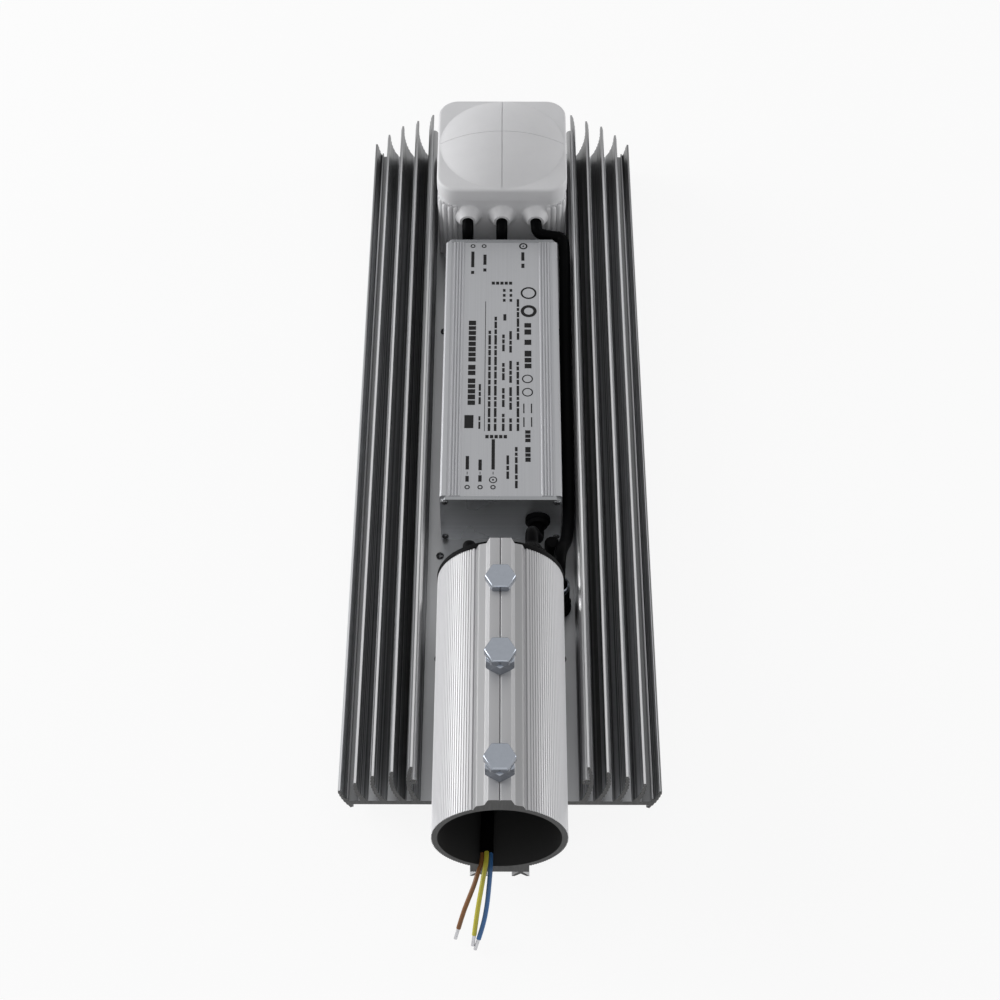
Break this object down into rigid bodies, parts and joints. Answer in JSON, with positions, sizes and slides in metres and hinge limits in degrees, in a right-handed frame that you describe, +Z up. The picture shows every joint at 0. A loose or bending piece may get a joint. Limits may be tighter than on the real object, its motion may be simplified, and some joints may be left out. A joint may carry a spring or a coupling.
{
  "type": "led street light head",
  "caption": "Finned LED street light head with a clamped pole tube, a driver, a round-domed control box and lens modules below.",
  "frame": {"origin": "middle of the footprint without the loose lead, on the surface that the lenses rest on", "axes": "+Z up from the lenses to the fins, +Y from the pole tube to the far end, +X to the right"},
  "size_m": [0.1668, 0.5542, 0.1068],
  "materials": {
    "sink_metal": "grey anodised extrusion",
    "tube_metal": "bright satin extrusion",
    "driver_metal": "silver extrusion",
    "plate_metal": "grey plate",
    "bolt_steel": "zinc plated",
    "nut_metal": "plain",
    "box_plastic": "light grey",
    "dark_plastic": "black",
    "gland_plastic": "dark grey",
    "cable_rubber": "black",
    "core_brown": "brown insulation",
    "core_yellow": "yellow green insulation",
    "core_blue": "blue insulation",
    "core_tip": "tinned copper",
    "lens_clear": "clear",
    "board_white": "white",
    "chip_yellow": "yellow phosphor"
  },
  "bodies": {
    "root": {"heat_sink": "sink_metal", "spigot_tube": "tube_metal", "tube_mount_screws": "bolt_steel", "clamp_bolt_1": "bolt_steel", "clamp_bolt_2": "bolt_steel", "clamp_bolt_3": "bolt_steel", "lock_nut_1": "bolt_steel", "lock_nut_2": "bolt_steel", "tube_end_cap": "dark_plastic", "cap_gland": "gland_plastic", "cap_plug": "dark_plastic", "driver_case": "driver_metal", "driver_input_plate": "plate_metal", "driver_output_plate": "plate_metal", "driver_bushes": "cable_rubber", "control_box": "box_plastic", "control_box_lid": "box_plastic", "side_gland": "dark_plastic", "side_gland_nut": "nut_metal", "sealing_plug": "dark_plastic", "input_cable": "cable_rubber", "lead_jacket": "cable_rubber", "core_brown": "core_brown", "core_yellow": "core_yellow", "core_blue": "core_blue", "core_brown_tip": "core_tip", "core_yellow_tip": "core_tip", "core_blue_tip": "core_tip", "output_cable_left": "cable_rubber", "output_cable_middle": "cable_rubber", "side_cable": "cable_rubber", "led_board_1": "board_white", "led_chips_1": "chip_yellow", "lens_plate_1": "lens_clear", "led_board_2": "board_white", "led_chips_2": "chip_yellow", "lens_plate_2": "lens_clear", "led_board_3": "board_white", "led_chips_3": "chip_yellow", "lens_plate_3": "lens_clear"}
  },
  "joints": []
}
